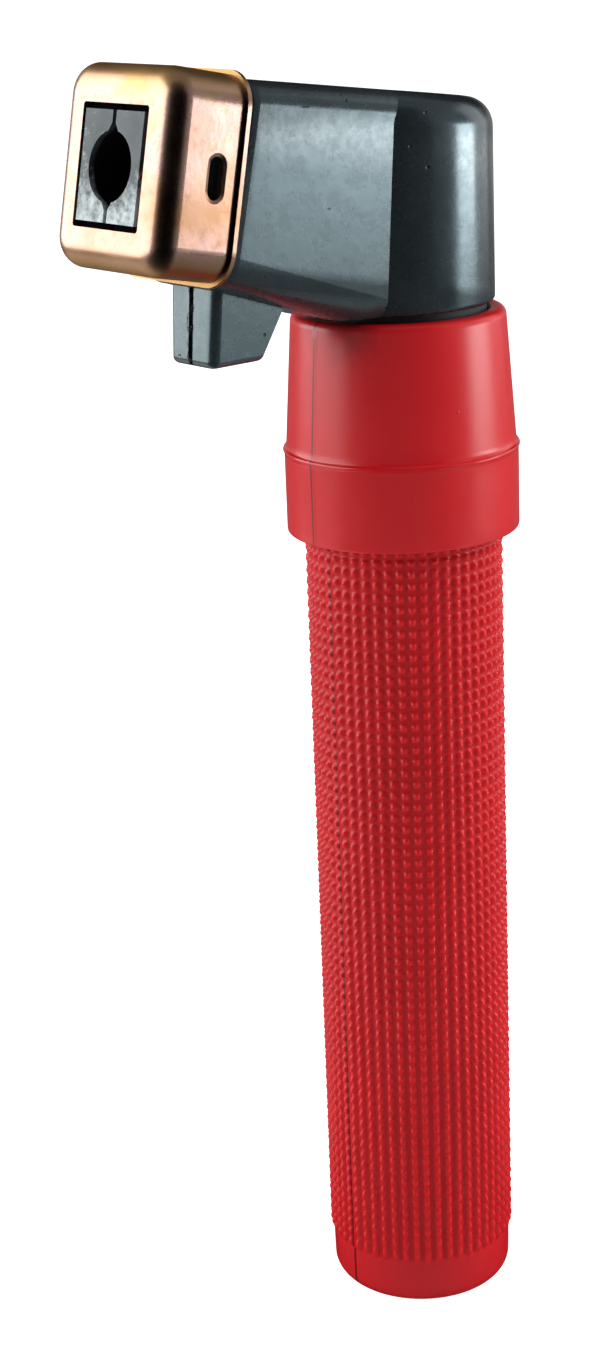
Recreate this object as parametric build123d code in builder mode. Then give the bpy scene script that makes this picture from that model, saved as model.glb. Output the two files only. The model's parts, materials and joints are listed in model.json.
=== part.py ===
from build123d import *
import os
from math import cos, radians, sin, tan

# Twist-grip holder for stick welding electrodes.
# The handle stands along +Z with its cable entry at the origin, the nose points along +X
# and the holder is symmetric about the XZ plane. Left is +Y and right is -Y.

# ---- driving dimensions, mm ----

# handle moulding
handle_top = 201.6
collar_radius = 20.2
collar_rounding = 1.5
cone_radius = 21.75
bead_radius = 22.45
bead_height = 176.1
band_radius = 22.2
band_bottom = 159.9
grip_radius = 19.0
end_radius = 18.2
end_band = 9.6
end_rounding = 3.2
entry_radius = 10.0
entry_lip = 4.0
socket_bore_radius = 13.0
bush_bore_radius = 15.2
seal_bore_radius = 17.2
seal_bore_floor = 198.8

# drive nut, seated on the shoulder between the two handle bores
nut_bottom = 119.8
nut_height = 18.0
nut_flats = 26.0

# head housing
head_bottom = 202.9
head_radius = 18.15
roof_height = 241.05
roof_slope = 7.75
roof_rounding = 5.5
nose_half_width = 13.85
side_taper = 0.043
nose_rounding = 4.3
nose_foot_rounding = 6.2
wall = 3.0
cavity_radius = 12.2
cavity_half_width = 8.5
parting_gap = 0.1
tongue_inset = 3.6

# nose: depths run back from the cap's front face, rises run up from the electrode axis
nose_tilt = 11.5
mouth_x = 63.5
mouth_z = 233.7
cap_width = 31.0
cap_height = 34.6
cap_depth = 15.7
cap_corner = 5.5
cap_bend = 4.0
cap_sheet = 1.5
cap_lip = 0.8
window_width = 18.5
window_height = 20.8
slot_depth = 10.4
slot_length = 7.2
slot_width = 2.9
slot_dish = 0.6
mouth_radius = 6.0
block_width = 16.5
block_height = 18.6
block_back = 13.0

# clamp: the spindle lifts the lever's tail and the upper jaw comes down
travel = 4.5
pivot_x = 16.0
pivot_z = 233.7
pivot_radius = 2.5
lever_half_width = 4.6
tail_height = 224.8
running = 0.05

# contact body, whose neck carries the handle
neck_radius = 10.0
neck_bottom = 149.8
spindle_radius = 6.0
thread_radius = 7.0
flange_bottom = 205.4
flange_top = 208.4
base_top = 215.8
key_height = 166.8

# cable socket
socket_radius = 11.4
socket_bottom = 41.8
socket_top = 101.8
conductor_radius = 7.5
conductor_depth = 38.0
stud_radius = 5.0

# ---- shared planes and helpers ----

tilt_cos = cos(radians(nose_tilt))
tilt_sin = sin(radians(nose_tilt))
front = Plane(origin=(mouth_x, 0, mouth_z), x_dir=(0, 1, 0), z_dir=(tilt_cos, 0, tilt_sin))
roof = Plane(
    origin=(0, 0, roof_height),
    x_dir=(0, 1, 0),
    z_dir=(-sin(radians(roof_slope)), 0, cos(radians(roof_slope))),
)


def nose(depth, rise):
    """X and Z of a point in the nose, from its depth behind the front face and its rise."""
    x = mouth_x - depth * tilt_cos - rise * tilt_sin
    z = mouth_z - depth * tilt_sin + rise * tilt_cos
    return (x, z)


def across_nose(depth, rise):
    """Plane at a point of the nose whose normal is the upward direction across the electrode."""
    x, z = nose(depth, rise)
    return Plane(origin=(x, 0, z), x_dir=(0, 1, 0), z_dir=(-tilt_sin, 0, tilt_cos))


def half_width(z):
    """Half-width of the nose at a height: the flat sides draw in slightly downwards."""
    return nose_half_width - side_taper * (roof_height - z)


def save(part, name):
    """Label one finished piece and write it as its own STEP file."""
    part.label = name
    export_step(part, f"parts/{name}.step")


# ---- head housing, one shape that is then parted into two mouldings ----

lug_half_width = 6.6
lug_draft = 0.5
lug_top_x = 47.7
lug_foot_x = 49.0
lug_foot_z = 197.8
lug_root_z = 209.3
lug_heel_x = 38.0
lug_root_x = 31.0

with BuildPart() as lug:
    with BuildSketch(Plane.XZ):
        with BuildLine():
            Polyline(
                (lug_top_x, lug_root_z + 4.0),
                (lug_foot_x, lug_foot_z),
                (lug_heel_x, lug_foot_z),
                (lug_root_x, lug_root_z),
                (lug_root_x, lug_root_z + 2.5),
                close=True,
            )
        make_face()
    extrude(amount=lug_half_width, both=True)
    # the sides draw in towards the foot
    with BuildSketch(Plane.YZ):
        for side in (-1, 1):
            with BuildLine():
                Polyline(
                    (side * lug_half_width, lug_root_z + 4.0),
                    (side * (lug_half_width - lug_draft), lug_foot_z),
                    (side * (lug_half_width + 5.0), lug_foot_z),
                    close=True,
                )
            make_face()
    extrude(amount=100, both=True, mode=Mode.SUBTRACT)
    lug_front_edges = lug.faces().sort_by(Axis.X)[-1].edges().sort_by(Axis.Y)
    fillet([lug_front_edges[0], lug_front_edges[-1]], radius=1.8)
    fillet(lug.faces().sort_by(Axis.Z)[0].edges(), radius=1.2)
    # groove along the parting line, down the front and under the foot
    with BuildSketch(Plane.XY.offset(lug_foot_z - 1)):
        with BuildLine():
            Polyline(
                (lug_foot_x + 1, 1.2), (lug_foot_x - 0.9, 0), (lug_foot_x + 1, -1.2), close=True
            )
        make_face()
    lug_front_run = (lug_top_x - lug_foot_x, 0, lug_root_z + 4.0 - lug_foot_z)
    extrude(amount=20, dir=lug_front_run, mode=Mode.SUBTRACT)

# Outline of the nose: half-width and height at its top and bottom, on the handle's axis and
# at the shoulder, from which it rounds in towards the cap.
shoulder_depth = cap_depth + 3.8
shoulder_top = 17.05
shoulder_bottom = -18.6
nose_foot = head_bottom - 7.2
waist_depth = cap_depth + 0.2
waist_inset = 3.0


def nose_outline(top_width, top, bottom_width, bottom):
    """Corners of a section through the nose, wider at the top than at the bottom."""
    return [(top_width, top), (bottom_width, bottom), (-bottom_width, bottom), (-top_width, top)]


def shoulder_section(inset):
    """Section near the cap, drawn in on all sides by an inset."""
    low = half_width(nose(shoulder_depth, shoulder_bottom)[1]) - inset
    top_inset = 0.45 * inset
    return nose_outline(
        nose_half_width - inset, shoulder_top - top_inset, low, shoulder_bottom + top_inset
    )


# Sections of the nose, each with its plane, its corners and how much smaller its roundings are.
# The shoulder is a quarter-ellipse in five straight steps.
rear_corners = nose_outline(
    half_width(roof_height), roof_height, half_width(nose_foot), nose_foot
)
nose_sections = [(Plane.YZ, rear_corners, 0)]
for i in range(6):
    shoulder_angle = radians(18 * i)
    depth = shoulder_depth + (waist_depth - shoulder_depth) * sin(shoulder_angle)
    inset = waist_inset * (1 - cos(shoulder_angle))
    nose_sections.append((front.offset(-depth), shoulder_section(inset), 0.6 * inset))

with BuildPart() as housing:
    # rear barrel with its sloping, rounded roof
    with BuildSketch(Plane.XY.offset(head_bottom)):
        Circle(head_radius)
    extrude(amount=roof_height + 12 - head_bottom)
    split(bisect_by=roof, keep=Keep.BOTTOM)
    fillet(housing.edges().sort_by(Axis.Z)[-1], radius=roof_rounding)
    fillet(housing.edges().sort_by(Axis.Z)[0], radius=0.8)

    # flat-sided nose, rising from the barrel to the shoulder and rounding in to the waist
    for section, next_section in zip(nose_sections, nose_sections[1:]):
        for plane, corners, draw_in in (section, next_section):
            with BuildSketch(plane):
                with BuildLine():
                    Polyline(*corners, close=True)
                make_face()
                fillet(vertices().group_by(Axis.Y)[-1], radius=nose_rounding - draw_in)
                fillet(vertices().group_by(Axis.Y)[0], radius=nose_foot_rounding - draw_in)
        loft()
    with BuildSketch(Plane.XY.offset(head_bottom)):
        Rectangle(200, 60)
    extrude(amount=-30, mode=Mode.SUBTRACT)
    add(lug.part)

    # tongue inside the cap, with a shallow pocket behind each of the cap's slots, and its neck
    with BuildSketch(front.offset(-shoulder_depth)):
        RectangleRounded(19.4, 30.4, cap_corner - 1.1)
    extrude(amount=shoulder_depth - cap_depth + 2.0)
    with BuildSketch(front.offset(-cap_depth + 1.0)):
        RectangleRounded(cap_width - tongue_inset, cap_height - tongue_inset, cap_corner - 1.1)
    extrude(amount=cap_depth - 1.0 - cap_bend)
    with BuildSketch(front.offset(-cap_bend)):
        RectangleRounded(cap_width - tongue_inset, cap_height - tongue_inset, cap_corner - 1.1)
    extrude(amount=cap_bend - 2.0, taper=40)
    slot_x, slot_z = nose(slot_depth, 0)
    slot_plane = Plane(origin=(slot_x, 0, slot_z), x_dir=(-tilt_sin, 0, tilt_cos), z_dir=(0, 1, 0))
    tongue_half_width = (cap_width - tongue_inset) / 2
    for side in (-1, 1):
        with BuildSketch(slot_plane.offset(side * (tongue_half_width - 1.2))):
            SlotOverall(slot_length + 1.0, slot_width + 1.0)
        extrude(amount=side * 4.0, mode=Mode.SUBTRACT)

    # pockets for the mouth blocks, and the cavity for the clamp
    with BuildSketch(front.offset(-6.2)):
        RectangleRounded(22.4, 25.4, 1.5)
    extrude(amount=10, mode=Mode.SUBTRACT)
    with BuildSketch(front.offset(-block_back - 0.2)):
        Rectangle(block_width + 0.6, block_height + 0.6)
    extrude(amount=block_back, mode=Mode.SUBTRACT)
    with BuildSketch(Plane.XZ):
        with BuildLine():
            Polyline(
                nose(block_back + 0.2, 13.3),
                nose(block_back + 0.2, -14.2),
                nose(60, -14.2),
                nose(60, 17.0),
                nose(30, 14.6),
                close=True,
            )
        make_face()
    extrude(amount=cavity_half_width, both=True, mode=Mode.SUBTRACT)

    # rear cavity, the contact body's flange groove and its neck opening
    roof_drop = wall + cavity_radius * tan(radians(roof_slope))
    with BuildSketch(Plane.XY.offset(flange_top)):
        Circle(cavity_radius)
    extrude(amount=roof_height - roof_drop - flange_top, mode=Mode.SUBTRACT)
    with BuildSketch(Plane.XY.offset(flange_bottom)):
        Circle(13.6)
    extrude(amount=flange_top - flange_bottom, mode=Mode.SUBTRACT)
    with BuildSketch(Plane.XY.offset(head_bottom)):
        Circle(neck_radius + running)
    extrude(amount=wall, mode=Mode.SUBTRACT)

# self-tapping screws join the two mouldings from the right side, at the lug and the barrel
screw_head_radius = 2.75
screw_head_seat = -4.4
screw_radius = 1.5
screw_places = [(43.0, 204.2), (-14.7, 222.8)]

with BuildPart() as housing_left:
    add(housing.part)
    split(bisect_by=Plane.XZ.offset(-parting_gap), keep=Keep.BOTTOM)
    for x, z in screw_places:
        with BuildSketch(Plane(origin=(x, 0, z), x_dir=(1, 0, 0), z_dir=(0, 1, 0))):
            Circle(screw_radius + 0.02)
        extrude(amount=5.0, mode=Mode.SUBTRACT)

with BuildPart() as housing_right:
    add(housing.part)
    split(bisect_by=Plane.XZ.offset(parting_gap), keep=Keep.TOP)
    for x, z in screw_places:
        with BuildSketch(Plane(origin=(x, 0, z), x_dir=(1, 0, 0), z_dir=(0, 1, 0))):
            Circle(screw_radius + 0.1)
        extrude(amount=-20, mode=Mode.SUBTRACT)
        with BuildSketch(Plane(origin=(x, screw_head_seat, z), x_dir=(1, 0, 0), z_dir=(0, 1, 0))):
            Circle(screw_head_radius + 0.2)
        extrude(amount=-20, mode=Mode.SUBTRACT)

with BuildPart() as housing_screws:
    for x, z in screw_places:
        seat = Plane(origin=(x, screw_head_seat, z), x_dir=(1, 0, 0), z_dir=(0, 1, 0))
        with BuildSketch(seat):
            Circle(screw_radius)
        extrude(amount=9.0)
        with BuildSketch(seat):
            Circle(screw_head_radius)
        extrude(amount=-1.8)
        with BuildSketch(seat.offset(-1.8)):
            Rectangle(3.2, 0.7)
            Rectangle(0.7, 3.2)
        extrude(amount=1.0, mode=Mode.SUBTRACT)

# ---- nose cap, a deep-drawn steel shell that holds the two mouldings' front ends ----

with BuildPart() as nose_cap:
    with BuildSketch(front.offset(-cap_depth)):
        RectangleRounded(cap_width, cap_height, cap_corner)
    extrude(amount=cap_depth)
    front_face = nose_cap.faces().sort_by(Axis((0, 0, 0), (tilt_cos, 0, tilt_sin)))[-1]
    fillet(front_face.edges(), radius=cap_bend)
    with BuildSketch(front.offset(-cap_depth)):
        RectangleRounded(cap_width + 2 * cap_lip, cap_height + 2 * cap_lip, cap_corner + cap_lip)
    extrude(amount=cap_lip)
    with BuildSketch(front.offset(-cap_depth)):
        RectangleRounded(
            cap_width - 2 * cap_sheet, cap_height - 2 * cap_sheet, cap_corner - cap_sheet
        )
    extrude(amount=cap_depth - cap_bend, mode=Mode.SUBTRACT)
    with BuildSketch(front.offset(-cap_bend)):
        RectangleRounded(
            cap_width - 2 * cap_sheet, cap_height - 2 * cap_sheet, cap_corner - cap_sheet
        )
    extrude(amount=cap_bend - cap_sheet, taper=40, mode=Mode.SUBTRACT)
    with BuildSketch(front.offset(-cap_bend)):
        RectangleRounded(window_width, window_height, 0.6)
    extrude(amount=cap_bend + 1, mode=Mode.SUBTRACT)
    with BuildSketch(slot_plane):
        SlotOverall(slot_length, slot_width)
    extrude(amount=cap_width, both=True, mode=Mode.SUBTRACT)
    # each slot's edge is dished slightly into the sheet
    for side in (-1, 1):
        with BuildSketch(slot_plane.offset(side * cap_width / 2)):
            SlotOverall(slot_length + 2 * slot_dish, slot_width + 2 * slot_dish)
        extrude(amount=-side * 0.2, taper=71.5, mode=Mode.SUBTRACT)

# ---- mouth blocks, the two insulating halves round the electrode hole ----

with BuildPart() as mouth_blocks:
    with BuildSketch(front.offset(-block_back)):
        Rectangle(block_width, block_height)
    extrude(amount=block_back + 0.1)
    with BuildSketch(front.offset(-6.0)):
        RectangleRounded(21.8, 24.8, 1.2)
    extrude(amount=4.3)
    with BuildSketch(front.offset(-block_back)):
        Circle(mouth_radius)
        Rectangle(1.0, block_height + 10)
    extrude(amount=block_back + 2, mode=Mode.SUBTRACT)
    with BuildSketch(front.offset(-1.6)):
        with BuildLine():
            Polyline((0, 7.9), (1.5, 5.7), (0, 4.0), (-1.5, 5.7), close=True)
        make_face()
        mirror(about=Plane.XZ)
    extrude(amount=4, mode=Mode.SUBTRACT)

with BuildPart() as mouth_block_left:
    add(mouth_blocks.part)
    split(bisect_by=Plane.XZ, keep=Keep.BOTTOM)

with BuildPart() as mouth_block_right:
    add(mouth_blocks.part)
    split(bisect_by=Plane.XZ, keep=Keep.TOP)

# ---- contact body: neck, flange, base, ears for the lever and arm for the lower jaw ----

arm_top = -8.6
arm_bottom = -13.8
ear_inside = 5.0
ear_outside = 8.2
ring_groove_bottom = neck_bottom + 3.2
ring_groove_top = neck_bottom + 4.6
anchor_x = -8.4

with BuildPart() as contact_body:
    with BuildSketch(Plane.XY.offset(neck_bottom)):
        Circle(neck_radius)
    extrude(amount=flange_bottom - neck_bottom)
    with BuildSketch(Plane.XY.offset(flange_bottom)):
        Circle(13.5)
    extrude(amount=flange_top - flange_bottom)
    with BuildSketch(Plane.XY.offset(flange_top)):
        Circle(cavity_radius - 0.3)
    extrude(amount=base_top - flange_top)
    with BuildSketch(Plane.XZ):
        with BuildLine():
            Polyline(
                nose(17, arm_top),
                nose(17, arm_bottom),
                nose(60, arm_bottom),
                nose(60, arm_top),
                close=True,
            )
        make_face()
    extrude(amount=7.5, both=True)
    # ears with their rounded tops
    with BuildSketch(Plane.XZ):
        with BuildLine():
            Polyline(
                (7.6, base_top - 2),
                (pivot_x - 5.2, pivot_z),
                (pivot_x + 5.2, pivot_z),
                (24.0, base_top - 1),
                close=True,
            )
        make_face()
        with Locations((pivot_x, pivot_z)):
            Circle(5.2)
    extrude(amount=ear_outside, both=True)
    with BuildSketch(Plane.XZ):
        with Locations((pivot_x, base_top + 12.2)):
            Rectangle(30, 24)
    extrude(amount=ear_inside, both=True, mode=Mode.SUBTRACT)
    # wall that stops the electrode's bare end
    with BuildSketch(Plane.XZ):
        with Locations((10.6, base_top + 3)):
            Rectangle(3.4, 8)
    extrude(amount=ear_inside, both=True)
    # bores: spindle, pivot pin, spring anchor, guide pin
    with BuildSketch(Plane.XY.offset(neck_bottom)):
        Circle(spindle_radius + 0.08)
    extrude(amount=base_top + 1 - neck_bottom, mode=Mode.SUBTRACT)
    with BuildSketch(Plane.XZ):
        with Locations((pivot_x, pivot_z)):
            Circle(pivot_radius + 0.02)
    extrude(amount=20, both=True, mode=Mode.SUBTRACT)
    with BuildSketch(Plane.XY.offset(base_top)):
        with Locations((anchor_x, 0)):
            Circle(0.8)
    extrude(amount=-3.0, mode=Mode.SUBTRACT)
    with BuildSketch(Plane(origin=(0, 0, key_height), x_dir=(1, 0, 0), z_dir=(0, 1, 0))):
        Circle(1.52)
    extrude(amount=20, mode=Mode.SUBTRACT)
    for depth in (21.5, 29.0):
        with BuildSketch(across_nose(depth, arm_top)):
            Circle(1.52)
        extrude(amount=-4.4, mode=Mode.SUBTRACT)
    # snap-ring groove near the neck's end
    with BuildSketch(Plane.XY.offset(ring_groove_bottom)):
        Circle(neck_radius + 1)
        Circle(8.9, mode=Mode.SUBTRACT)
    extrude(amount=ring_groove_top - ring_groove_bottom, mode=Mode.SUBTRACT)
    chamfer(contact_body.edges().filter_by(GeomType.CIRCLE).sort_by(Axis.Z)[:2], length=0.5)

with BuildPart() as lower_jaw:
    with BuildSketch(front.offset(-33)):
        with BuildLine():
            Polyline((-6, -4.6), (-2.4, -4.6), (0, -6.2), (2.4, -4.6), (6, -4.6), (6, arm_top),
                     (-6, arm_top), close=True)
        make_face()
    extrude(amount=15.5)
    for depth in (21.5, 29.0):
        with BuildSketch(across_nose(depth, arm_top)):
            Circle(1.6)
        extrude(amount=6, mode=Mode.SUBTRACT)
        with BuildSketch(across_nose(depth, arm_top + 0.6)):
            Circle(2.5)
        extrude(amount=6, mode=Mode.SUBTRACT)

with BuildPart() as jaw_screws:
    for depth in (21.5, 29.0):
        with BuildSketch(across_nose(depth, arm_top - 4.2)):
            Circle(1.5)
        extrude(amount=4.9)
        with BuildSketch(across_nose(depth, arm_top + 0.65)):
            Circle(2.35)
        extrude(amount=1.6)
        with BuildSketch(across_nose(depth, arm_top + 2.25)):
            Rectangle(3.4, 0.6)
        extrude(amount=-0.8, mode=Mode.SUBTRACT)

with BuildPart() as pivot_pin:
    with BuildSketch(Plane.XZ):
        with Locations((pivot_x, pivot_z)):
            Circle(pivot_radius)
    extrude(amount=ear_outside, both=True)
    chamfer(pivot_pin.edges().filter_by(GeomType.CIRCLE), length=0.4)

# ---- clamp lever and upper jaw ----

jaw_seat_front = 9.7
jaw_seat_back = 7.2
lever_front = 14.5
lever_back = 33.0

with BuildPart() as clamp_lever:
    with BuildSketch(Plane.XZ):
        with BuildLine():
            Polyline(
                nose(lever_front, jaw_seat_front),
                nose(lever_front, 12.8),
                nose(38, 12.8),
                (pivot_x + 2, pivot_z + 5),
                (pivot_x - 3, pivot_z + 4.6),
                (5.0, pivot_z - 1.6),
                (-10.0, tail_height + 2.6),
                (-10.0, tail_height),
                (7.0, tail_height),
                (pivot_x - 3, pivot_z - 4.7),
                (pivot_x + 4, pivot_z - 3.7),
                nose(lever_back, jaw_seat_back),
                close=True,
            )
        make_face()
    extrude(amount=lever_half_width, both=True)
    fillet(clamp_lever.faces().sort_by(Axis.X)[0].edges().filter_by(Axis.Z), radius=2.5)
    with BuildSketch(Plane.XZ):
        with Locations((pivot_x, pivot_z)):
            Circle(pivot_radius + running)
    extrude(amount=20, both=True, mode=Mode.SUBTRACT)
    with BuildSketch(Plane.XY.offset(tail_height)):
        with Locations((anchor_x, 0)):
            Circle(0.8)
    extrude(amount=6, mode=Mode.SUBTRACT)
    for depth in (20.0, 28.0):
        with BuildSketch(across_nose(depth, 0)):
            Circle(1.42)
        extrude(amount=20, mode=Mode.SUBTRACT)

with BuildPart() as upper_jaw:
    seat_slope = (jaw_seat_front - jaw_seat_back) / (lever_back - lever_front)
    with BuildSketch(Plane.XZ):
        with BuildLine():
            Polyline(
                nose(15.5, jaw_seat_back + seat_slope * (lever_back - 15.5)),
                nose(15.5, 6.9),
                nose(32.5, 4.6),
                nose(32.5, jaw_seat_back + seat_slope * (lever_back - 32.5)),
                close=True,
            )
        make_face()
    extrude(amount=lever_half_width, both=True)
    # shallow gripping groove along the electrode
    with BuildSketch(front.offset(-40)):
        with BuildLine():
            Polyline((-2.6, 3.0), (0, 7.0), (2.6, 3.0), close=True)
        make_face()
    extrude(amount=30, mode=Mode.SUBTRACT)
    for depth in (20.0, 28.0):
        with BuildSketch(across_nose(depth, 0)):
            Circle(1.42)
        extrude(amount=20, mode=Mode.SUBTRACT)

with BuildPart() as jaw_rivets:
    for depth in (20.0, 28.0):
        with BuildSketch(across_nose(depth, 7.6)):
            Circle(1.4)
        extrude(amount=5.1)

# ---- return spring between the base and the lever's tail ----

spring_turns = 8
spring_pitch = 0.8

with BuildPart() as return_spring:
    with BuildLine():
        Helix(
            pitch=spring_pitch,
            height=spring_turns * spring_pitch,
            radius=1.2,
            center=(anchor_x, 0, base_top + 1.2),
        )
    with BuildSketch(Plane(origin=(anchor_x + 1.2, 0, base_top + 1.2), z_dir=(0, 1, 0))):
        Circle(0.25)
    sweep()
    with BuildSketch(Plane.XY.offset(base_top - 2.6)):
        with Locations((anchor_x, 0)):
            Circle(0.3)
    extrude(amount=tail_height + 2.0 - base_top + 2.6)
    for height in (base_top + 1.2, base_top + 1.2 + spring_turns * spring_pitch):
        with BuildSketch(Plane(origin=(anchor_x, 0, height), z_dir=(1, 0, 0))):
            Circle(0.25)
        extrude(amount=1.2)

# ---- seal, snap ring and washer on the neck, and the pin that keys the spindle ----

with BuildPart() as dust_seal:
    with BuildSketch(Plane.XY.offset(seal_bore_floor + 0.4)):
        Circle(16.6)
        Circle(neck_radius + running, mode=Mode.SUBTRACT)
    extrude(amount=head_bottom - seal_bore_floor - 0.4)

with BuildPart() as retaining_ring:
    with BuildSketch(Plane.XY.offset(ring_groove_bottom + 0.05)):
        Circle(12.0)
        Circle(8.95, mode=Mode.SUBTRACT)
        with Locations((-10, 0)):
            Rectangle(8, 5, mode=Mode.SUBTRACT)
    extrude(amount=ring_groove_top - ring_groove_bottom - 0.1)

with BuildPart() as thrust_washer:
    with BuildSketch(Plane.XY.offset(ring_groove_top)):
        Circle(14.2)
        Circle(neck_radius + running, mode=Mode.SUBTRACT)
    extrude(amount=2.0)

with BuildPart() as guide_pin:
    with BuildSketch(Plane(origin=(0, 4.3, key_height), x_dir=(1, 0, 0), z_dir=(0, 1, 0))):
        Circle(1.5)
    extrude(amount=neck_radius - 0.2 - 4.3)

lock_pin_bottom = seal_bore_floor - 13.0

# ---- handle: grip moulding, bush, nut, liner and grommet, all turning together ----

end_flat = end_radius - end_rounding
collar_shoulder = handle_top - collar_rounding
nut_top = nut_bottom + nut_height + 0.2

with BuildPart() as handle_grip:
    with BuildSketch(Plane.XZ):
        with BuildLine():
            Line((entry_radius, 0), (end_flat, 0))
            CenterArc((end_flat, end_rounding), end_rounding, -90, 90)
            Polyline(
                (end_radius, end_rounding),
                (end_radius, end_band),
                (grip_radius, end_band + 0.4),
                (grip_radius, band_bottom),
                (band_radius - 0.5, band_bottom),
                (band_radius, band_bottom + 0.5),
                (band_radius, bead_height - 1.1),
            )
            ThreePointArc(
                (band_radius, bead_height - 1.1),
                (bead_radius, bead_height),
                (cone_radius, bead_height + 1.1),
            )
            Line((cone_radius, bead_height + 1.1), (collar_radius, collar_shoulder))
            CenterArc((collar_radius - collar_rounding, collar_shoulder), collar_rounding, 0, 90)
            Polyline(
                (collar_radius - collar_rounding, handle_top),
                (seal_bore_radius, handle_top),
                (seal_bore_radius, seal_bore_floor),
                (bush_bore_radius, seal_bore_floor),
                (bush_bore_radius, nut_top),
                (socket_bore_radius, nut_top),
                (socket_bore_radius, entry_lip),
                (entry_radius, entry_lip),
                (entry_radius, 0),
            )
        make_face()
    revolve(axis=Axis.Z)
    with BuildSketch(Plane.XY.offset(nut_bottom)):
        RegularPolygon(radius=nut_flats / 2 + 0.1, side_count=6, major_radius=False)
    extrude(amount=nut_top - nut_bottom, mode=Mode.SUBTRACT)
    with BuildSketch(Plane.XY.offset(lock_pin_bottom)):
        with Locations((bush_bore_radius, 0)):
            Circle(1.22)
    extrude(amount=seal_bore_floor - lock_pin_bottom, mode=Mode.SUBTRACT)

bush_bottom = ring_groove_top + 2.0 + 0.35
bush_top = seal_bore_floor - 0.2

with BuildPart() as handle_bush:
    with BuildSketch(Plane.XY.offset(bush_bottom)):
        Circle(bush_bore_radius - 0.1)
        Circle(neck_radius + running, mode=Mode.SUBTRACT)
    extrude(amount=bush_top - bush_bottom)
    with BuildSketch(Plane.XY.offset(lock_pin_bottom)):
        with Locations((bush_bore_radius, 0)):
            Circle(1.22)
    extrude(amount=30, mode=Mode.SUBTRACT)

with BuildPart() as bush_lock_pin:
    with BuildSketch(Plane.XY.offset(lock_pin_bottom + 0.1)):
        with Locations((bush_bore_radius, 0)):
            Circle(1.2)
    extrude(amount=bush_top - lock_pin_bottom - 0.1)

with BuildPart() as drive_nut:
    with BuildSketch(Plane.XY.offset(nut_bottom)):
        RegularPolygon(radius=nut_flats / 2, side_count=6, major_radius=False)
        Circle(thread_radius + running, mode=Mode.SUBTRACT)
    extrude(amount=nut_height)

with BuildPart() as insulating_liner:
    with BuildSketch(Plane.XY.offset(9.0)):
        Circle(socket_bore_radius - 0.1)
        Circle(socket_bore_radius - 1.0, mode=Mode.SUBTRACT)
    extrude(amount=nut_bottom - 0.5 - 9.0)

cable_radius = 9.0

with BuildPart() as cable_grommet:
    with BuildSketch():
        Circle(entry_radius - 0.02)
    extrude(amount=entry_lip)
    with BuildSketch(Plane.XY.offset(entry_lip)):
        Circle(socket_bore_radius - 0.2)
    extrude(amount=4.6)
    with BuildSketch():
        Circle(cable_radius)
    extrude(amount=20, mode=Mode.SUBTRACT)

# ---- spindle: slides on the guide pin, threaded through the drive nut ----

thread_top = neck_bottom - travel - 1.5
shank_top = tail_height - 3.3
keyway_bottom = key_height - 1.5 - travel - 0.6
keyway_top = key_height + 2.0

with BuildPart() as spindle:
    with BuildSketch(Plane.XY.offset(socket_top - 20)):
        Circle(stud_radius)
    extrude(amount=20)
    with BuildSketch(Plane.XY.offset(socket_top)):
        Circle(thread_radius)
    extrude(amount=thread_top - socket_top)
    with BuildSketch(Plane.XY.offset(thread_top)):
        Circle(spindle_radius)
    extrude(amount=shank_top - thread_top)
    with BuildSketch(Plane.XY.offset(keyway_bottom)):
        with Locations((0, 4.0 + 2.0)):
            Rectangle(3.1, 4.0)
    extrude(amount=keyway_top - keyway_bottom, mode=Mode.SUBTRACT)
    with BuildSketch(Plane.XY.offset(shank_top)):
        Circle(2.02)
    extrude(amount=-5.7, mode=Mode.SUBTRACT)
    with BuildSketch(Plane.YZ.offset(-20)):
        with Locations((0, socket_top - 10)):
            Circle(1.52)
    extrude(amount=40, mode=Mode.SUBTRACT)

tip_radius = 5.0
tip_dome = 8.0
tip_top = tail_height - 0.3
tip_edge = tip_top - tip_dome + (tip_dome**2 - tip_radius**2) ** 0.5

with BuildPart() as spindle_tip:
    with BuildSketch(Plane.XZ):
        with BuildLine():
            Polyline(
                (0, tip_top),
                (0, shank_top - 5.5),
                (2.0, shank_top - 5.5),
                (2.0, shank_top),
                (tip_radius, shank_top),
                (tip_radius, tip_edge),
            )
            RadiusArc((tip_radius, tip_edge), (0, tip_top), -tip_dome)
        make_face()
    revolve(axis=Axis.Z)

screw_heights = (socket_bottom + 10.0, socket_bottom + 26.0)

with BuildPart() as cable_socket:
    with BuildSketch(Plane.XY.offset(socket_bottom)):
        Circle(socket_radius)
    extrude(amount=socket_top - socket_bottom)
    chamfer(cable_socket.edges().filter_by(GeomType.CIRCLE), length=0.8)
    with BuildSketch(Plane.XY.offset(socket_bottom)):
        Circle(conductor_radius)
    extrude(amount=conductor_depth, mode=Mode.SUBTRACT)
    with BuildSketch(Plane.XY.offset(socket_top)):
        Circle(stud_radius + 0.02)
    extrude(amount=-20.1, mode=Mode.SUBTRACT)
    for height in screw_heights:
        with BuildSketch(Plane(origin=(0, 0, height), x_dir=(1, 0, 0), z_dir=(0, 1, 0))):
            Circle(4.02)
        extrude(amount=20, mode=Mode.SUBTRACT)
    with BuildSketch(Plane.YZ.offset(-20)):
        with Locations((0, socket_top - 10)):
            Circle(1.52)
    extrude(amount=40, mode=Mode.SUBTRACT)

with BuildPart() as socket_screws:
    for height in screw_heights:
        outer = Plane(origin=(0, socket_radius - 0.3, height), x_dir=(1, 0, 0), z_dir=(0, 1, 0))
        with BuildSketch(outer):
            Circle(4.0)
        extrude(amount=-(socket_radius - 0.3 - conductor_radius - 0.1))
        with BuildSketch(outer):
            RegularPolygon(radius=2.0, side_count=6, major_radius=False)
        extrude(amount=-2.0, mode=Mode.SUBTRACT)

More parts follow.
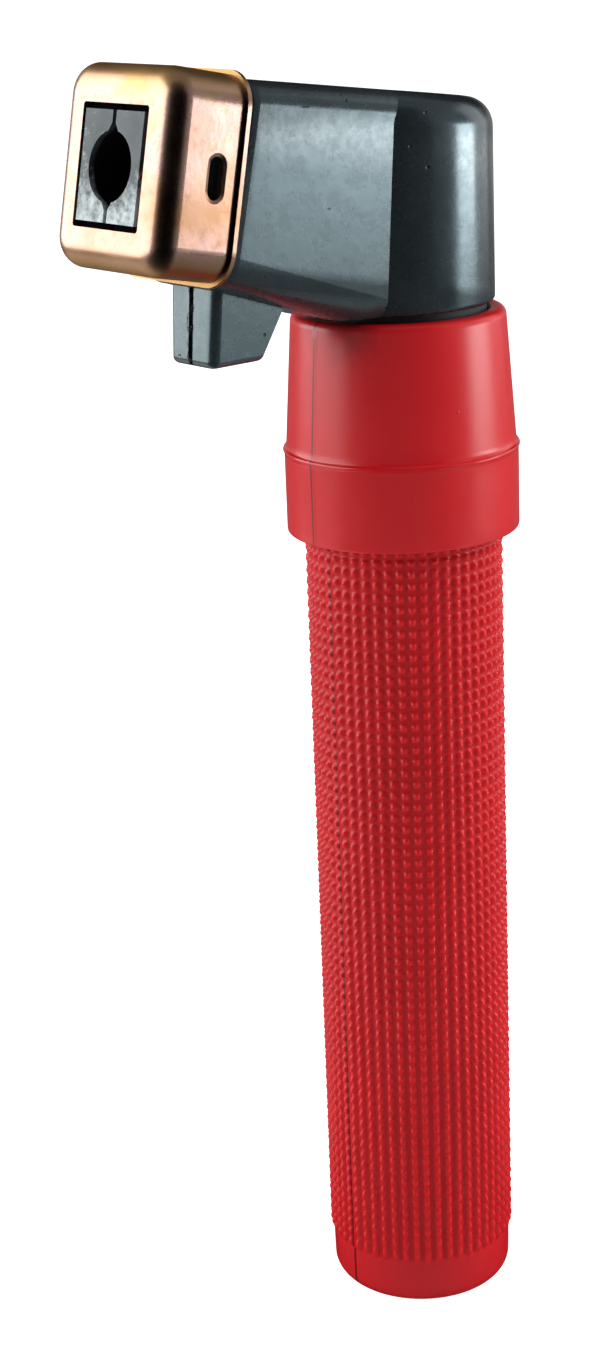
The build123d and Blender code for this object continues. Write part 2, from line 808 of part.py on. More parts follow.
with BuildPart() as socket_pin:
    with BuildSketch(Plane.YZ.offset(-socket_radius + 0.3)):
        with Locations((0, socket_top - 10)):
            Circle(1.5)
    extrude(amount=2 * (socket_radius - 0.3))

# ---- one STEP per piece ----

pieces = {
    "housing_left": housing_left,
    "housing_right": housing_right,
    "housing_screws": housing_screws,
    "nose_cap": nose_cap,
    "mouth_block_left": mouth_block_left,
    "mouth_block_right": mouth_block_right,
    "contact_body": contact_body,
    "lower_jaw": lower_jaw,
    "jaw_screws": jaw_screws,
    "pivot_pin": pivot_pin,
    "return_spring": return_spring,
    "dust_seal": dust_seal,
    "retaining_ring": retaining_ring,
    "thrust_washer": thrust_washer,
    "guide_pin": guide_pin,
    "clamp_lever": clamp_lever,
    "upper_jaw": upper_jaw,
    "jaw_rivets": jaw_rivets,
    "handle_grip": handle_grip,
    "handle_bush": handle_bush,
    "bush_lock_pin": bush_lock_pin,
    "drive_nut": drive_nut,
    "insulating_liner": insulating_liner,
    "cable_grommet": cable_grommet,
    "spindle": spindle,
    "spindle_tip": spindle_tip,
    "cable_socket": cable_socket,
    "socket_screws": socket_screws,
    "socket_pin": socket_pin,
}

os.makedirs("parts", exist_ok=True)
for name, piece in pieces.items():
    save(piece.part, name)
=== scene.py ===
import json
import math

import bpy
from mathutils import Matrix, Vector, noise


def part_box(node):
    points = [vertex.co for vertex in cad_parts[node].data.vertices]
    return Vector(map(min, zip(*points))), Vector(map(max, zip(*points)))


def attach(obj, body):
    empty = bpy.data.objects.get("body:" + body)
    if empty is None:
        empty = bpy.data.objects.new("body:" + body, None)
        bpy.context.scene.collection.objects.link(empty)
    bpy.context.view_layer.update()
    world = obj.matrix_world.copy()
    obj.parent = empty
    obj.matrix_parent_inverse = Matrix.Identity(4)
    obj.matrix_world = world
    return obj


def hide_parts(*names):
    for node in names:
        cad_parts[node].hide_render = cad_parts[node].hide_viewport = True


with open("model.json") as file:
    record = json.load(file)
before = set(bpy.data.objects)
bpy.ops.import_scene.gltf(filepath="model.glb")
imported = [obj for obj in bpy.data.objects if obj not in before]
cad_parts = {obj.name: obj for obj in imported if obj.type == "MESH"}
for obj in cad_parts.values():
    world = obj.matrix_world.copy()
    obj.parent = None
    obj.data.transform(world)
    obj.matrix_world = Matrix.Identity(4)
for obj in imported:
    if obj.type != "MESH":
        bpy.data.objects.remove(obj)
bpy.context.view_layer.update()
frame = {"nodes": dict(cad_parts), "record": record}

# The frame is the CAD one: +Z up the handle, +X the way the nose points, +Y to the left.
# It is in metres. Sizes of the holder are in millimetres here, those of the stage in metres.
MM = 0.001

# ---- the handle, from its cable entry up to its rim ----

handle_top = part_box("handle_grip")[1][2] / MM
entry_radius = 10.0
entry_lip = 4.0
bore_radius = 13.0
end_radius = 18.2
end_rounding = 3.2
band_radius = 22.2
band_rounding = 0.5
bead_height = 176.1
bead_rounding = 0.5
collar_foot_radius = 21.74
collar_rim_radius = 20.21
rim_rounding = 1.5
seal_radius = 17.2
seal_depth = 2.8

# ---- the knurl ----

crest_radius = 19.0
floor_radius = 18.2
knurl_bottom = 10.2
knurl_top = 159.9
knurl_rows = 65
knurl_columns = 52
row_pitch = (knurl_top - knurl_bottom) / knurl_rows
# one pitch of the lattice: where its rings or columns fall, and how high each stands
pitch_steps = ((0.0, 0.0), (0.17, 0.06), (0.31, 0.84), (0.5, 1.0), (0.69, 0.84), (0.83, 0.06))
# the grooves between rows are shallow up to one height and deep from another
row_share_low = 0.45
row_share_high = 0.92
worn_up_to = 20.0
crisp_from = 110.0
# how much the bumps differ in height
unevenness = 0.10

# ---- the mould seam down the front of the handle ----

seam_width = 0.28
# how far one half of the knurl sits above the other, as a share of a row's pitch
seam_jog = 0.32
# how high the flash stands: as a share of a bump on the knurl, in mm on the collar
knurl_flash = 0.62
collar_flash = 0.16
# how far to the right of the seam its dark line lies
seam_line_side = 0.32

# ---- the nose ----

cap_depth = 15.7
nose_tilt = math.radians(11.5)
mouth = Vector((63.5, 0.0, 233.7))
nose_out = Vector((math.cos(nose_tilt), 0.0, math.sin(nose_tilt)))
nose_up = Vector((-math.sin(nose_tilt), 0.0, math.cos(nose_tilt)))
mouth_reach = mouth.dot(nose_out)
mouth_rise = mouth.dot(nose_up)

# ---- where the head's skin changes ----

# across the nose, above its middle
lug_top = -16.8
underside_top = -13.0
polish_foot = 3.0
polish_full = 9.0
polish_end = 12.0
polish_gone = 14.5
# behind the cap
shoulder_near = 2.4
shoulder_far = 4.2
# up from the handle's end
shoulder_foot = 212.0
shoulder_full = 232.0
roof_foot = 236.5
roof_full = 240.0

# ---- mesh helpers ----


def arc(centre, radius, start, end, steps):
    """Points of a circular arc in a profile, angles in degrees, ends included."""
    points = []
    for i in range(steps + 1):
        angle = math.radians(start + (end - start) * i / steps)
        points.append((centre[0] + radius * math.cos(angle), centre[1] + radius * math.sin(angle)))
    return points


def run(start, end, steps):
    """Points of a straight run in a profile, without its first point."""
    points = []
    for i in range(1, steps + 1):
        t = i / steps
        points.append((start[0] + (end[0] - start[0]) * t, start[1] + (end[1] - start[1]) * t))
    return points


def smooth(value, low, high):
    """Runs smoothly from 0 to 1 between two values."""
    t = min(max((value - low) / (high - low), 0.0), 1.0)
    return t * t * (3 - 2 * t)


# ---- node material helpers ----


class Shader:
    """A small wrapper that builds one node material."""

    def __init__(self, name, **inputs):
        self.material = bpy.data.materials.new(name)
        self.material.use_nodes = True
        self.tree = self.material.node_tree
        self.bsdf = self.tree.nodes["Principled BSDF"]
        for socket, value in inputs.items():
            self.bsdf.inputs[socket.replace("_", " ")].default_value = value
        self.coordinates = self.tree.nodes.new("ShaderNodeTexCoord").outputs["Object"]

    def node(self, kind, **settings):
        """A new node with some of its settings."""
        made = self.tree.nodes.new(kind)
        for key, value in settings.items():
            setattr(made, key, value)
        return made

    def put(self, value, target):
        """Feeds a socket from another node's output, or sets its number or colour."""
        if hasattr(value, "is_linked"):
            self.tree.links.new(value, target)
        elif isinstance(value, tuple) and len(value) == 3:
            target.default_value = (*value, 1.0)
        else:
            target.default_value = value

    def drive(self, socket, value):
        """Feeds one socket of the surface shader."""
        self.put(value, self.bsdf.inputs[socket])

    # where a point lies

    def component(self, axis):
        """One coordinate of the surface point, in metres."""
        split = self.node("ShaderNodeSeparateXYZ")
        self.put(self.coordinates, split.inputs["Vector"])
        return split.outputs[axis]

    def reach(self, direction):
        """How far the surface point lies along a direction, in metres."""
        made = self.node("ShaderNodeVectorMath", operation="DOT_PRODUCT")
        self.put(self.coordinates, made.inputs[0])
        made.inputs[1].default_value = direction
        return made.outputs["Value"]

    def from_axis(self):
        """How far the surface point lies from the handle's axis, in metres."""
        flat = self.node("ShaderNodeVectorMath", operation="MULTIPLY")
        self.put(self.coordinates, flat.inputs[0])
        flat.inputs[1].default_value = (1.0, 1.0, 0.0)
        length = self.node("ShaderNodeVectorMath", operation="LENGTH")
        self.put(flat.outputs["Vector"], length.inputs[0])
        return length.outputs["Value"]

    def fade(self, distance, low, high, start=0.0, end=1.0):
        """Runs from one value to another between two distances in mm."""
        return self.span(distance, start, end, low * MM, high * MM)

    def along(self, axis, low, high, start=0.0, end=1.0):
        """Runs from one value to another between two places along an axis, in mm."""
        return self.fade(self.component(axis), low, high, start, end)

    def depth(self, low, high, start=0.0, end=1.0):
        """Runs from one value to another along the nose, in mm out from its front face."""
        return self.fade(self.reach(nose_out), mouth_reach + low, mouth_reach + high, start, end)

    def rise(self, low, high, start=0.0, end=1.0):
        """Runs from one value to another across the nose, in mm above its middle."""
        return self.fade(self.reach(nose_up), mouth_rise + low, mouth_rise + high, start, end)

    def spot(self, centre, radius, softness):
        """Fades from 1 at a point to 0 at a radius in mm, with a ragged border."""
        away = self.node("ShaderNodeVectorMath", operation="DISTANCE")
        self.put(self.coordinates, away.inputs[0])
        away.inputs[1].default_value = Vector(centre) * MM
        ragged = self.times(self.noise(260.0, detail=5.0), softness * radius * MM)
        distance = self.plus(away.outputs["Value"], ragged)
        return self.fade(distance, 0.2 * radius, (1 + 0.5 * softness) * radius, 1.0, 0.0)

    # patterns

    def stretched(self, stretch):
        """The surface point with its axes stretched."""
        mapping = self.node("ShaderNodeMapping")
        mapping.inputs["Scale"].default_value = stretch
        self.put(self.coordinates, mapping.inputs["Vector"])
        return mapping.outputs["Vector"]

    def noise(self, scale, detail=4.0, roughness=0.55, stretch=(1.0, 1.0, 1.0)):
        """Cloudy noise, about 0.5 on average."""
        texture = self.node("ShaderNodeTexNoise")
        texture.inputs["Scale"].default_value = scale
        texture.inputs["Detail"].default_value = detail
        texture.inputs["Roughness"].default_value = roughness
        self.put(self.stretched(stretch), texture.inputs["Vector"])
        return texture.outputs["Fac"]

    def cells(self, scale, stretch=(1.0, 1.0, 1.0)):
        """Distance to the nearest of some scattered points."""
        texture = self.node("ShaderNodeTexVoronoi")
        texture.inputs["Scale"].default_value = scale
        self.put(self.stretched(stretch), texture.inputs["Vector"])
        return texture.outputs["Distance"]

    def ramp(self, factor, *stops):
        """Colours a factor through (place, colour) stops."""
        made = self.node("ShaderNodeValToRGB")
        elements = made.color_ramp.elements
        while len(elements) < len(stops):
            elements.new(0.5)
        for element, (place, color) in zip(elements, stops):
            element.position = place
            element.color = (*color, 1.0)
        self.put(factor, made.inputs["Fac"])
        return made.outputs["Color"]

    # arithmetic

    def span(self, factor, start, end, low=0.0, high=1.0):
        """Runs from start to end while the factor runs from low to high."""
        made = self.node("ShaderNodeMapRange")
        made.inputs["From Min"].default_value = low
        made.inputs["From Max"].default_value = high
        made.inputs["To Min"].default_value = start
        made.inputs["To Max"].default_value = end
        self.put(factor, made.inputs["Value"])
        return made.outputs["Result"]

    def mix(self, factor, first, second):
        """Goes from the first colour to the second."""
        made = self.node("ShaderNodeMix", data_type="RGBA")
        self.put(factor, made.inputs["Factor"])
        self.put(first, made.inputs["A"])
        self.put(second, made.inputs["B"])
        return made.outputs["Result"]

    def calculate(self, operation, first, second=0.0):
        """One arithmetic step."""
        made = self.node("ShaderNodeMath", operation=operation)
        self.put(first, made.inputs[0])
        self.put(second, made.inputs[1])
        return made.outputs[0]

    def plus(self, first, second):
        return self.calculate("ADD", first, second)

    def minus(self, first, second):
        return self.calculate("SUBTRACT", first, second)

    def times(self, first, second):
        return self.calculate("MULTIPLY", first, second)

    def larger(self, first, second):
        return self.calculate("MAXIMUM", first, second)

    def absolute(self, value):
        return self.calculate("ABSOLUTE", value)

    def bump(self, *layers):
        """Stacks height layers, each (height, strength, distance in mm)."""
        normal = None
        for height, strength, distance in layers:
            made = self.node("ShaderNodeBump")
            made.inputs["Strength"].default_value = strength
            made.inputs["Distance"].default_value = distance * MM
            self.put(height, made.inputs["Height"])
            if normal is not None:
                self.put(normal, made.inputs["Normal"])
            normal = made.outputs["Normal"]
        self.drive("Normal", normal)


# ---- materials ----


def handle_color(s, collar):
    """Red, deeper on the collar and at the plain end, with painted shade in the grooves; the seam is
    dark, and the patch under the nose is soot and painted shadow.
    """
    color = s.ramp(
        s.noise(55.0, detail=5.0), (0.3, (0.50, 0.0075, 0.0110)), (0.7, (0.57, 0.0090, 0.0130))
    )
    color = s.mix(s.times(collar, 0.5), color, (0.40, 0.003, 0.006))
    # Painted shade: the grooves of the knurl are painted darker, fading in at the foot of the knurl.
    groove_shade = s.fade(s.from_axis(), floor_radius + 0.05, crest_radius - 0.1, 1.0, 0.0)
    on_knurl = s.along("Z", knurl_bottom - 0.2, knurl_bottom + 0.4, 0.0, 0.42)
    color = s.mix(s.times(groove_shade, on_knurl), color, (0.30, 0.003, 0.006))
    plain_end = s.along("Z", knurl_bottom - 1.0, knurl_bottom, 0.7, 0.0)
    color = s.mix(plain_end, color, (0.40, 0.0085, 0.0125))
    beside_seam = s.absolute(s.plus(s.component("Y"), seam_line_side * MM))
    seam_line = s.times(s.fade(beside_seam, 0.16, 0.40, 0.9, 0.0), s.along("X", 0.0, 1.0))
    color = s.mix(seam_line, color, (0.08, 0.002, 0.004))
    # Soot and painted shadow: a dark patch on the collar under the nose, partly dirt and partly the
    # shadow cast by the head.
    soot_and_shadow = s.spot((19.0, 7.0, handle_top - 1.0), 7.0, 1.6)
    return s.mix(s.times(soot_and_shadow, 0.8), color, (0.03, 0.010, 0.011))


def red_moulding():
    """Red plastic: glossy on the collar, duller on the knurl, with a few pimples."""
    s = Shader("red_moulding", Coat_Roughness=0.30)
    collar = s.along("Z", knurl_top - 1.0, knurl_top + 1.0)
    s.drive("Specular IOR Level", s.span(collar, 0.25, 0.36))
    s.drive("Coat Weight", s.span(collar, 0.0, 0.22))
    s.drive("Base Color", handle_color(s, collar))
    from_bead = s.absolute(s.minus(s.component("Z"), (bead_height - 0.3) * MM))
    shine = s.fade(from_bead, 0.4, 1.0, -0.14, 0.0)
    s.drive("Roughness", s.plus(s.span(s.noise(240.0, detail=3.0), 0.25, 0.36), shine))
    pimples = s.span(s.cells(330.0), 1.0, 0.0, 0.03, 0.12)
    sparse = s.span(s.noise(120.0, detail=2.0), 0.0, 1.0, 0.60, 0.66)
    s.bump(
        (s.noise(900.0, detail=3.0), 0.12, 0.05),
        (s.noise(110.0), 0.22, 0.12),
        (s.times(pimples, sparse), 0.6, 0.12),
    )
    return s.material


def head_pits(s, on_lug):
    """Pinholes, a few nicks and the ragged parting line down the head's middle."""
    pinholes = s.span(s.cells(360.0), 1.0, 0.0, 0.08, 0.17)
    sparse = s.span(s.noise(150.0, detail=2.0), 0.0, 1.0, 0.60, 0.64)
    nicks = s.span(s.cells(150.0, stretch=(0.5, 1.0, 3.2)), 1.0, 0.0, 0.05, 0.09)
    rare = s.span(s.noise(70.0, detail=2.0), 0.0, 1.0, 0.56, 0.60)
    pits = s.larger(s.times(pinholes, sparse), s.times(nicks, rare))
    wander = s.span(s.noise(420.0, detail=4.0, roughness=0.7), -0.9 * MM, 0.9 * MM, 0.25, 0.75)
    from_parting = s.absolute(s.plus(s.component("Y"), wander))
    from_parting = s.minus(from_parting, s.times(on_lug, 0.25 * MM))
    return s.larger(pits, s.fade(from_parting, 0.15, 0.35, 1.0, 0.0))


def black_moulding():
    """Blue-black moulding: polished high on its flat sides, dull by the cap, above and below."""
    s = Shader("black_moulding", Specular_Tint=(0.66, 0.92, 1.0, 1.0), Coat_Roughness=0.16)
    base = s.ramp(
        s.noise(60.0, detail=6.0), (0.3, (0.010, 0.013, 0.015)), (0.75, (0.022, 0.028, 0.031))
    )
    on_lug = s.rise(lug_top - 1.4, lug_top, 1.0, 0.0)
    pits = head_pits(s, on_lug)
    s.drive("Base Color", s.mix(pits, base, (0.003, 0.003, 0.004)))

    ragged = s.plus(s.reach(nose_out), s.times(s.noise(90.0), 1.6 * MM))
    cap_rear = mouth_reach - cap_depth
    shoulder = s.fade(ragged, cap_rear - shoulder_far, cap_rear - shoulder_near)
    shoulder = s.times(shoulder, s.along("Z", shoulder_foot, shoulder_full, 0.1, 1.0))
    underside = s.minus(s.rise(underside_top - 1.8, underside_top, 1.0, 0.0), on_lug)
    roof = s.along("Z", roof_foot, roof_full, 0.0, 0.6)
    dull = s.larger(s.larger(shoulder, underside), roof)

    speckle = s.span(s.noise(520.0, detail=5.0, roughness=0.7), 0.35, 1.0, 0.42, 0.60)
    polished = s.times(s.rise(polish_foot, polish_full, 0.0, 0.8), speckle)
    polished = s.times(polished, s.rise(polish_end, polish_gone, 1.0, 0.0))
    s.drive("Coat Weight", s.times(s.plus(polished, 0.2), s.span(dull, 1.0, 0.1)))
    s.drive("Specular IOR Level", s.span(dull, 1.0, 0.30))
    skin = s.noise(300.0, detail=7.0, roughness=0.7)
    s.drive("Roughness", s.span(skin, 0.20, 0.32, 0.32, 0.68))
    s.bump(
        (s.noise(620.0, detail=5.0), 0.28, 0.05),
        (s.noise(120.0, detail=5.0, roughness=0.6), 0.32, 0.14),
        (s.minus(1.0, pits), 1.0, 0.25),
    )
    return s.material


def passivated_steel():
    """Yellow chromate over zinc: pink, gold and straw patches, satin and browner at the edges."""
    s = Shader("passivated_steel", Metallic=1.0)
    patches = s.noise(38.0, detail=3.0, stretch=(1.0, 1.0, 1.6))
    color = s.ramp(
        patches,
        (0.28, (0.36, 0.19, 0.10)),
        (0.42, (0.43, 0.26, 0.20)),
        (0.50, (0.44, 0.28, 0.24)),
        (0.58, (0.43, 0.29, 0.15)),
        (0.70, (0.45, 0.32, 0.24)),
        (0.80, (0.33, 0.18, 0.06)),
    )
    speckle = s.span(s.noise(420.0, detail=5.0, roughness=0.7), 0.0, 0.55, 0.52, 0.72)
    color = s.mix(speckle, color, (0.28, 0.13, 0.05))
    from_middle = s.absolute(s.minus(s.reach(nose_up), mouth_rise * MM))
    edge = s.fade(s.plus(from_middle, s.times(patches, 6.0 * MM)), 15.5, 19.5, 0.0, 0.85)
    s.drive("Base Color", s.mix(edge, color, (0.50, 0.29, 0.10)))
    satin = s.times(edge, 0.26)
    s.drive("Roughness", s.plus(s.span(s.noise(160.0, detail=5.0), 0.18, 0.34), satin))
    s.bump((s.noise(700.0, detail=3.0), 0.20, 0.05), (s.noise(90.0), 0.24, 0.22))
    return s.material


def mouth_insulator():
    """Dark grey arc-resistant moulding, matt, with pale scuffs low on its face; behind its face it
    is painted near black, with no reflection, as painted shade in the gap round the blocks.
    """
    s = Shader("mouth_insulator", Specular_Tint=(0.85, 0.97, 1.0, 1.0))
    base = s.ramp(
        s.noise(130.0, detail=6.0), (0.3, (0.020, 0.024, 0.026)), (0.7, (0.06, 0.07, 0.075))
    )
    worn = s.along("Z", mouth.z - 9.0, mouth.z + 3.0, 0.25, -0.03)
    scuffs = s.plus(s.noise(420.0, detail=8.0, roughness=0.75), worn)
    face = s.mix(s.span(scuffs, 0.0, 0.9, 0.55, 0.80), base, (0.50, 0.56, 0.56))
    # Painted shade: more than about a millimetre behind the front face the blocks are painted near
    # black and lose their reflection, standing for the shade in the gap round them.
    clear_of_painted_shade = s.depth(-1.2, -0.4)
    s.drive("Base Color", s.mix(clear_of_painted_shade, (0.004, 0.004, 0.005), face))
    s.drive("Specular IOR Level", s.times(clear_of_painted_shade, 0.6))
    s.drive("Roughness", s.span(s.noise(200.0), 0.40, 0.65))
    s.bump((s.noise(600.0, detail=5.0), 0.35, 0.10), (s.noise(180.0, detail=4.0), 0.3, 0.2))
    return s.material


def machined(name, dark, light, roughness):
    """Turned or milled metal with fine tool marks."""
    s = Shader(name, Metallic=1.0)
    rings = (1.0, 1.0, 12.0)
    s.drive("Base Color", s.ramp(s.noise(80.0, detail=5.0), (0.3, dark), (0.7, light)))
    marks = s.noise(220.0, stretch=rings)
    s.drive("Roughness", s.span(marks, roughness - 0.07, roughness + 0.1))
    s.bump((s.noise(500.0, detail=2.0, stretch=rings), 0.12, 0.03))
    return s.material


def moulded(name, dark, light, roughness):
    """Moulded or pressed non-metal with a fine grain."""
    s = Shader(name)
    s.drive("Base Color", s.ramp(s.noise(90.0, detail=4.0), (0.3, dark), (0.7, light)))
    s.drive("Roughness", s.span(s.noise(150.0), roughness - 0.08, roughness + 0.08))
    s.bump((s.noise(300.0, detail=3.0), 0.2, 0.06))
    return s.material


materials = {
    "red_moulding": red_moulding(),
    "black_moulding": black_moulding(),
    "passivated_steel": passivated_steel(),
    "mouth_insulator": mouth_insulator(),
    "brass": machined("brass", (0.60, 0.40, 0.15), (0.78, 0.57, 0.26), 0.30),
    "copper_alloy": machined("copper_alloy", (0.55, 0.26, 0.12), (0.75, 0.42, 0.24), 0.34),
    "steel": machined("steel", (0.42, 0.43, 0.45), (0.62, 0.63, 0.64), 0.32),
    "spring_steel": machined("spring_steel", (0.22, 0.22, 0.24), (0.36, 0.36, 0.38), 0.36),
    "nylon": moulded("nylon", (0.70, 0.67, 0.60), (0.80, 0.78, 0.71), 0.45),
    "liner": moulded("liner", (0.20, 0.15, 0.10), (0.30, 0.24, 0.17), 0.60),
    "rubber": moulded("rubber", (0.010, 0.010, 0.011), (0.022, 0.022, 0.024), 0.62),
}

slot_of = {entry["node"]: entry["material_slot"] for entry in frame["record"]["subparts"]}
for name, obj in frame["nodes"].items():
    obj.data.materials.clear()
    obj.data.materials.append(materials[slot_of[name]])

# ---- knurled handle ----


def end_profile():
    """The plain end, from inside the cable entry round to the foot of the knurl."""
    outline = [
        (bore_radius, entry_lip), (entry_radius, entry_lip),
        (entry_radius, 0.3), (entry_radius + 0.3, 0.0),
    ]
    outline += arc((end_radius - end_rounding, end_rounding), end_rounding, -90, 0, 10)
    belly = ((0.04, 5.0), (0.08, 8.0), (0.04, 9.4), (0.0, 9.8))
    outline += [(end_radius + swell, height) for swell, height in belly]
    return outline


def collar_profile():
    """The flared band, its bead and the conical collar, up to the seat of the seal."""
    band_foot = band_radius - 0.6
    outline = [(floor_radius + 0.1, knurl_top)]
    outline += run((floor_radius + 0.1, knurl_top), (band_foot, knurl_top), 4)
    corner = (band_radius - band_rounding, knurl_top + band_rounding)
    outline += arc(corner, band_rounding, -90, 0, 4)
    outline += run((band_radius, knurl_top + band_rounding), (band_radius, bead_height - 1.5), 8)
    outline += arc((band_radius - 0.25, bead_height - 0.4), bead_rounding, -55, 75, 10)
    collar_foot = (collar_foot_radius, bead_height + 1.5)
    outline += [(band_radius - 0.27, bead_height + 0.35), (band_radius - 0.4, bead_height + 0.8)]
    outline += [collar_foot]
    outline += run(collar_foot, (collar_rim_radius, handle_top - 1.6), 12)
    rim = (collar_rim_radius - rim_rounding - 0.01, handle_top - rim_rounding)
    outline += arc(rim, rim_rounding, 2, 90, 8)
    outline += [(seal_radius + 0.3, handle_top), (seal_radius + 0.05, handle_top - 0.1)]
    outline += [(seal_radius, handle_top - 0.3), (seal_radius, handle_top - seal_depth)]
    outline += [(seal_radius - 2.0, handle_top - seal_depth)]
    return outline


def handle_rings():
    """The handle's rings as (radius, height, row step), from the entry up to the seal."""
    rings = [(radius, height, None) for radius, height in end_profile()]
    for row in range(knurl_rows):
        for place, step in pitch_steps:
            rings.append((floor_radius, knurl_bottom + (row + place) * row_pitch, step))
    rings += [(radius, height, None) for radius, height in collar_profile()]
    return rings


def handle_point(ring, row_share, jog, angle, column_step):
    """A point of one ring: a bump of the knurl, the seam's flash or the plain surface."""
    radius, height, row_step = ring
    across = math.remainder(angle, 2 * math.pi) * radius
    flash = math.exp(-((across / seam_width) ** 2))
    if row_step is not None:
        step = column_step * (1 - row_share + row_share * row_step)
        step *= 1 + unevenness * noise.noise(Vector((angle * 40, height * 0.9, 3.0)))
        step = min(max(step, knurl_flash * flash), 1.0)
        radius += (crest_radius - floor_radius) * step
        if 0.02 < angle < math.pi:
            height += jog
    elif knurl_top < height < handle_top - rim_rounding:
        radius += collar_flash * flash
    return Vector((radius * math.cos(angle), radius * math.sin(angle), height)) * MM


def handle_vertices(rings, columns):
    """The points of all rings; one half of the knurl is jogged against the other."""
    vertices = []
    for ring in rings:
        height = ring[1]
        crispness = smooth(height, worn_up_to, crisp_from)
        row_share = row_share_low + (row_share_high - row_share_low) * crispness
        jog = seam_jog * row_pitch * smooth(height, knurl_bottom, knurl_bottom + 2 * row_pitch)
        jog *= 1 - smooth(height, knurl_top - 2 * row_pitch, knurl_top)
        for angle, column_step in columns:
            vertices.append(handle_point(ring, row_share, jog, angle, column_step))
    return vertices


def make_handle():
    """A turned mesh whose lower part carries a lattice of small rounded square bumps."""
    rings = handle_rings()
    columns = []
    for column in range(knurl_columns):
        for place, step in pitch_steps:
            columns.append(((column + place) / knurl_columns * 2 * math.pi, step))
    count = len(columns)
    faces = []
    for i in range(len(rings) - 1):
        low = i * count
        high = low + count
        for j in range(count):
            k = (j + 1) % count
            faces.append((low + j, low + k, high + k, high + j))
    mesh = bpy.data.meshes.new("handle_grip_knurled")
    mesh.from_pydata(handle_vertices(rings, columns), [], faces)
    mesh.validate()
    mesh.update()
    for polygon in mesh.polygons:
        polygon.use_smooth = True
    mesh.materials.append(materials["red_moulding"])
    made = bpy.data.objects.new("handle_grip_knurled", mesh)
    bpy.context.scene.collection.objects.link(made)
    return made


handle = make_handle()
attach(handle, "handle")
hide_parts("handle_grip")

# ---- stage, all in metres and degrees ----

white = (1.0, 1.0, 1.0, 1.0)
black = (0.0, 0.0, 0.0, 1.0)
pale = (0.85, 0.85, 0.85, 1.0)
camera_heading = 50.74
aim_height = 0.15


def around(azimuth, distance, height):
    """A point at an azimuth and distance from the handle's axis."""
    angle = math.radians(azimuth)
    return (distance * math.cos(angle), distance * math.sin(angle), height)


def stage_card(name, corners, color, roughness, glow):
    """A flat four-cornered piece of the stage."""
    mesh = bpy.data.meshes.new(name)
    mesh.from_pydata(corners, [], [(0, 1, 2, 3)])
    s = Shader(name, Base_Color=color, Roughness=roughness, Specular_IOR_Level=0.0)
    s.drive("Emission Color", white)
    s.drive("Emission Strength", glow)
    mesh.materials.append(s.material)
    card = bpy.data.objects.new(name, mesh)
    card.visible_shadow = False
    bpy.context.scene.collection.objects.link(card)
    return card


def pale_floor(name, height, glow, seen):
    """A wide pale floor, either the one that is seen or the one that bounces light back."""
    half = 40.0
    corners = [(-half, -half, height), (half, -half, height), (half, half, height),
               (-half, half, height)]
    floor = stage_card(name, corners, pale, 0.9, glow)
    floor.visible_camera = seen
    floor.visible_diffuse = not seen
    floor.visible_glossy = False


def reflected_card(name, corners, glow=0.0):
    """A black or a glowing card that only reflections see."""
    card = stage_card(name, corners, black, 1.0, glow)
    card.visible_camera = False
    card.visible_diffuse = False
    card.visible_transmission = False


def standing_card(name, left, right, distance, low, high):
    """A black card that stands between two azimuths."""
    reflected_card(name, [around(left, distance, low), around(right, distance, low),
                          around(right, distance, high), around(left, distance, high)])


def floor_card(name, left, right, near, far, height, glow):
    """A glowing card that lies between two azimuths and two distances."""
    reflected_card(name, [around(left, near, height), around(left, far, height),
                          around(right, far, height), around(right, near, height)], glow)


def half_floor_card(name, facing, spread, height, glow=0.0):
    """A card that lies over the half of the floor that faces an azimuth."""
    side = 1.5
    far = 2.1
    reflected_card(name, [around(facing - spread, side, height), around(facing - 45, far, height),
                          around(facing + 45, far, height), around(facing + spread, side, height)],
                   glow)


def softbox(name, azimuth, height, distance, size, radiance, color=(1.0, 1.0, 1.0), seen=True):
    """A rectangular light that faces a point on the handle's axis, seen in reflections or not."""
    data = bpy.data.lights.new(name, "AREA")
    data.shape = "RECTANGLE"
    data.size, data.size_y = size
    data.energy = radiance * math.pi * size[0] * size[1]
    data.color = color
    light = bpy.data.objects.new(name, data)
    light.location = around(azimuth, distance, height)
    aim = Vector((0.0, 0.0, aim_height)) - light.location
    light.rotation_euler = aim.to_track_quat("-Z", "Y").to_euler()
    light.visible_glossy = seen
    bpy.context.scene.collection.objects.link(light)


pale_floor("floor_seen", 0.0, 0.95, True)
pale_floor("floor_bounce", -0.001, 0.10, False)

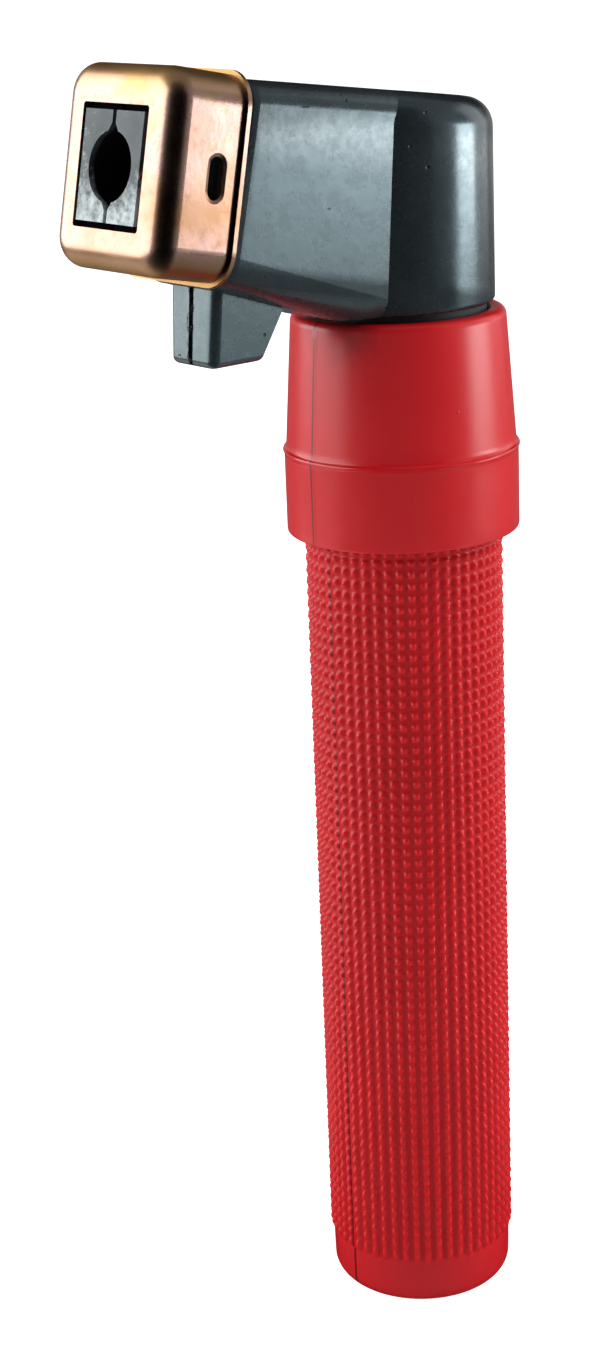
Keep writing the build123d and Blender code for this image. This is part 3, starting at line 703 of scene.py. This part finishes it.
cool = (0.94, 0.99, 1.0)
slightly_cool = (0.96, 0.99, 1.0)
softbox("softbox_left", -42.0, 0.49, 0.95, (1.36, 0.90), 3.6)
softbox("softbox_right_foot", 129.0, 0.031, 0.70, (0.18, 0.054), 0.6, cool)
softbox("softbox_right_low", 129.0, 0.090, 0.70, (0.18, 0.06), 3.4, cool)
softbox("softbox_right", 138.5, 0.188, 0.70, (0.34, 0.136), 10.0, slightly_cool)
softbox("softbox_right_high", 133.0, 0.63, 0.70, (0.50, 0.34), 11.0, slightly_cool, seen=False)
softbox("softbox_right_wide", 168.0, 0.42, 0.80, (0.50, 0.70), 1.0)

standing_card("flag_front", camera_heading - 42, camera_heading + 42, 0.5, 0.004, 0.9)
half_floor_card("flag_floor", camera_heading, 92, 0.0005)
half_floor_card("flag_floor_back", camera_heading + 180, 88, 0.0004, 0.14)
floor_card("bounce_left", -75, -20, 0.06, 0.70, 0.001, 0.9)
floor_card("bounce_right", 105, 155, 0.06, 0.66, 0.001, 0.4)
standing_card("flag_back", camera_heading + 130, camera_heading + 235, 0.9, 0.32, 1.5)

world = bpy.data.worlds.new("studio")
world.use_nodes = True
background = world.node_tree.nodes["Background"]
background.inputs["Color"].default_value = white
background.inputs["Strength"].default_value = 0.34
bpy.context.scene.world = world
bpy.context.scene.view_settings.view_transform = "Standard"

# ---- camera: where it stands, which way it looks, and its lens in mm ----

camera_distance = 0.45542
camera_height = 0.27671
camera_bearing = 48.1
heading = math.radians(camera_heading)
look_down = math.radians(17.93)
roll = math.radians(-2.3)
lens_length = 64.7788

forward = Vector((
    -math.cos(heading) * math.cos(look_down),
    -math.sin(heading) * math.cos(look_down),
    -math.sin(look_down),
))
right = forward.cross(Vector((0, 0, 1))).normalized()
up = right.cross(forward)
rolled_right = right * math.cos(roll) + up * math.sin(roll)
rolled_up = up * math.cos(roll) - right * math.sin(roll)

camera_data = bpy.data.cameras.new("camera")
camera_data.sensor_width = 36.0
camera_data.lens = lens_length
camera_data.clip_start = 0.01
camera = bpy.data.objects.new("camera", camera_data)
position = Vector(around(camera_bearing, camera_distance, camera_height))
axes = Matrix((rolled_right, rolled_up, -forward)).transposed()
camera.matrix_world = Matrix.Translation(position) @ axes.to_4x4()
bpy.context.scene.collection.objects.link(camera)
bpy.context.scene.camera = camera
